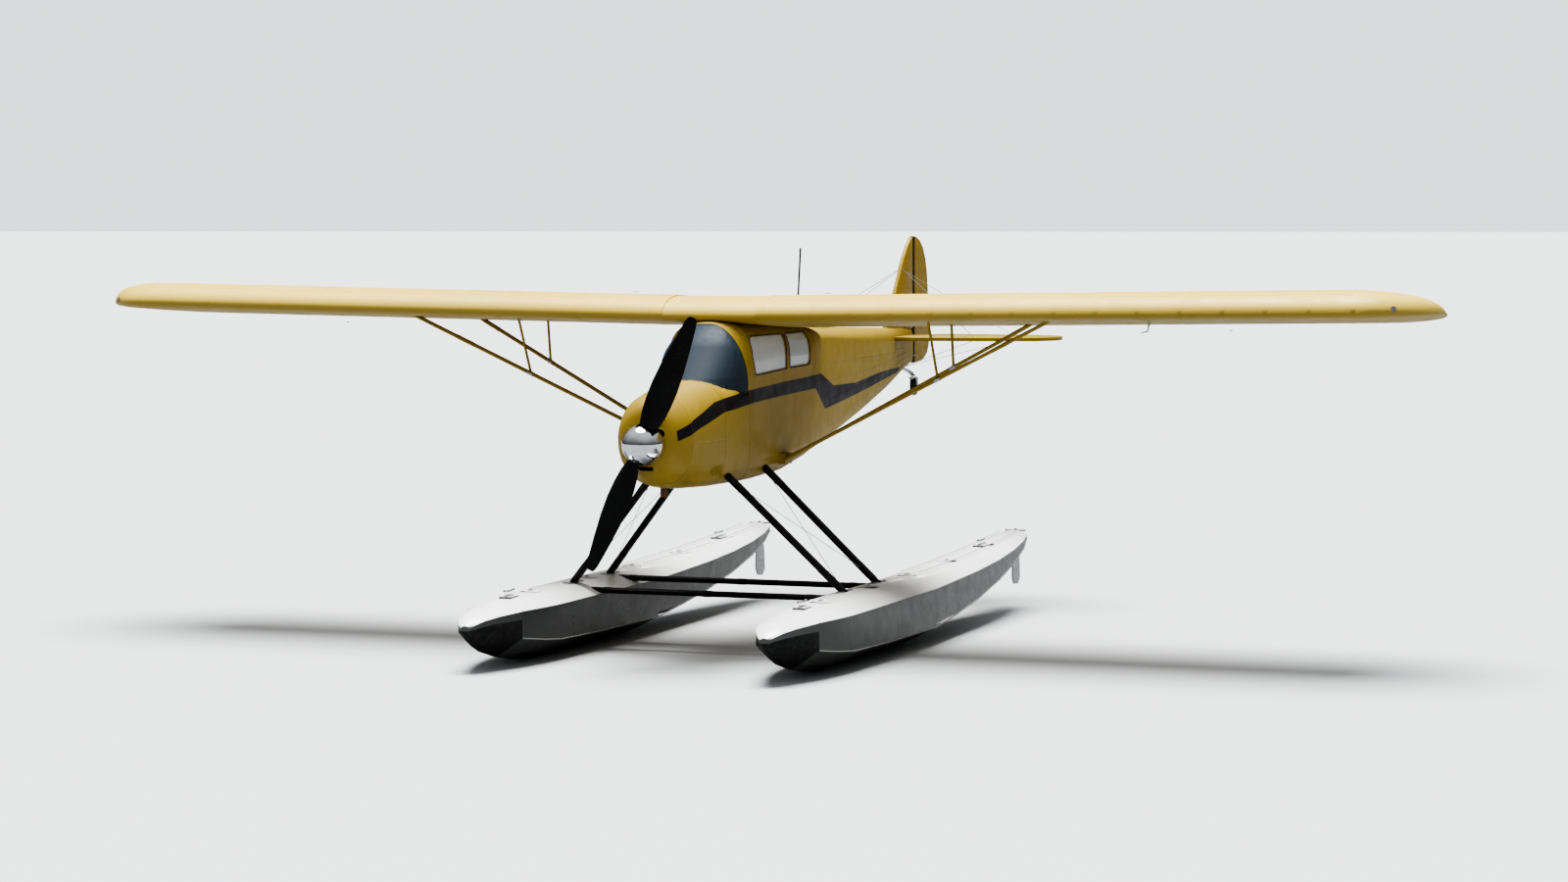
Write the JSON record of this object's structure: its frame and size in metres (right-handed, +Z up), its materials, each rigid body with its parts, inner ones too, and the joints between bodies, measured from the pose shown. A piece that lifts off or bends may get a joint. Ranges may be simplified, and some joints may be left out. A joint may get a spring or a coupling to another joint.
{
  "type": "two-seat floatplane",
  "caption": "High-wing light floatplane on twin floats, with strut-braced wings, tractor propeller, tandem cabin, split side door and working control surfaces.",
  "frame": {"origin": "middle of the bounding box in plan, on the floor under the float keels", "axes": "+X towards the aircraft's left wing tip, -Y towards the nose, +Z up"},
  "size_m": [10.7292, 6.97, 3.083],
  "materials": {
    "yellow": "satin yellow dope and enamel",
    "cream": "pale yellow doped fabric, satin",
    "white": "white enamel, satin",
    "grey": "grey enamel",
    "black": "black enamel, satin",
    "rubber": "matt black rubber",
    "chrome": "polished",
    "steel": "brushed",
    "brown": "heat-stained steel",
    "glass": "clear acrylic",
    "cloth": "woven cloth",
    "panel": "matt black"
  },
  "bodies": {
    "airframe": {"aerial_whip": "grey", "bow_bumper_left": "rubber", "bow_bumper_right": "rubber", "cowl_lower": "yellow", "cowl_upper": "yellow", "engine_block": "steel", "exhaust_stack": "brown", "fin": "yellow", "float_left": "white", "float_right": "white", "float_strut_front_left": "black", "float_strut_front_right": "black", "float_strut_rear_left": "black", "float_strut_rear_right": "black", "fuselage_cabin": "yellow", "fuselage_tail": "yellow", "instrument_panel": "panel", "jury_strut_front_left": "yellow", "jury_strut_front_right": "yellow", "jury_strut_rear_left": "yellow", "jury_strut_rear_right": "yellow", "lift_strut_front_left": "yellow", "lift_strut_front_right": "yellow", "lift_strut_rear_left": "yellow", "lift_strut_rear_right": "yellow", "nose_bowl": "yellow", "seat_cushion_front": "cloth", "seat_cushion_rear": "cloth", "seat_frame_front": "grey", "seat_frame_rear": "grey", "skylight": "glass", "spreader_front": "black", "spreader_rear": "black", "stabiliser_left": "yellow", "stabiliser_right": "yellow", "stick_front": "grey", "stick_rear": "grey", "tail_spring": "steel", "window_left_front": "glass", "window_left_rear": "glass", "window_right_rear": "glass", "windscreen": "glass", "wing_centre": "cream", "wing_left": "cream", "wing_right": "cream"},
    "propeller": {"propeller": "black", "spinner": "chrome"},
    "flap_left": {"flap_left": "cream"},
    "flap_right": {"flap_right": "cream"},
    "aileron_left": {"aileron_left": "cream"},
    "aileron_right": {"aileron_right": "cream"},
    "elevator": {"elevator": "yellow"},
    "rudder": {"rudder": "yellow"},
    "water_rudder_left": {"water_rudder_left": "steel"},
    "water_rudder_right": {"water_rudder_right": "steel"},
    "tailwheel_fork": {"tailwheel_fork": "steel"},
    "tail_wheel": {"tail_wheel": "rubber"},
    "door_upper": {"door_upper": "yellow", "door_glass": "glass"},
    "door_lower": {"door_lower": "yellow"}
  },
  "joints": [
    {"name": "propeller_spin", "type": "hinge", "parent": "airframe", "child": "propeller", "pos_m": [0, -2.95, 1.64], "axis": [0, -1, 0], "continuous": true},
    {"name": "flap_left_hinge", "type": "hinge", "parent": "airframe", "child": "flap_left", "pos_m": [1.485, -0.415, 2.4785], "axis": [0.9999, 0, 0.0155], "range_deg": [-50, 0]},
    {"name": "flap_right_hinge", "type": "hinge", "parent": "airframe", "child": "flap_right", "pos_m": [-1.485, -0.415, 2.4785], "axis": [0.9999, 0, -0.0155], "range_deg": [-50, 0]},
    {"name": "aileron_left_hinge", "type": "hinge", "parent": "airframe", "child": "aileron_left", "pos_m": [3.67, -0.415, 2.5124], "axis": [0.9999, 0, 0.0155], "range_deg": [-18, 18]},
    {"name": "aileron_right_hinge", "type": "hinge", "parent": "airframe", "child": "aileron_right", "pos_m": [-3.67, -0.415, 2.5124], "axis": [0.9999, 0, -0.0155], "range_deg": [-18, 18]},
    {"name": "elevator_hinge", "type": "hinge", "parent": "airframe", "child": "elevator", "pos_m": [0, 2.915, 2.225], "axis": [1, 0, 0], "range_deg": [-15, 25]},
    {"name": "rudder_hinge", "type": "hinge", "parent": "airframe", "child": "rudder", "pos_m": [0, 3.051, 2.5], "axis": [0, 0, 1], "range_deg": [-25, 25]},
    {"name": "water_rudder_left_steer", "type": "hinge", "parent": "airframe", "child": "water_rudder_left", "pos_m": [1.147, 2.365, 0.56], "axis": [0, 0, 1], "range_deg": [-30, 30]},
    {"name": "water_rudder_right_steer", "type": "hinge", "parent": "airframe", "child": "water_rudder_right", "pos_m": [-1.147, 2.365, 0.56], "axis": [0, 0, 1], "range_deg": [-30, 30]},
    {"name": "tailwheel_steer", "type": "hinge", "parent": "airframe", "child": "tailwheel_fork", "pos_m": [0, 3.063, 1.88], "axis": [0, 0, 1], "range_deg": [-30, 30]},
    {"name": "tail_wheel_spin", "type": "hinge", "parent": "tailwheel_fork", "child": "tail_wheel", "pos_m": [0, 3.107, 1.786], "axis": [1, 0, 0], "continuous": true},
    {"name": "door_upper_hinge", "type": "hinge", "parent": "airframe", "child": "door_upper", "pos_m": [-0.303, -1.355, 2.35], "axis": [0, 1, 0], "range_deg": [0, 85]},
    {"name": "door_lower_hinge", "type": "hinge", "parent": "airframe", "child": "door_lower", "pos_m": [-0.331, -1.355, 1.512], "axis": [0, -1, 0], "range_deg": [0, 85]}
  ],
  "couplings": [
    {"joint": "flap_right_hinge", "follows": "flap_left_hinge", "ratio": 1},
    {"joint": "aileron_right_hinge", "follows": "aileron_left_hinge", "ratio": -1},
    {"joint": "water_rudder_left_steer", "follows": "rudder_hinge", "ratio": 1.2},
    {"joint": "water_rudder_right_steer", "follows": "rudder_hinge", "ratio": 1.2}
  ]
}
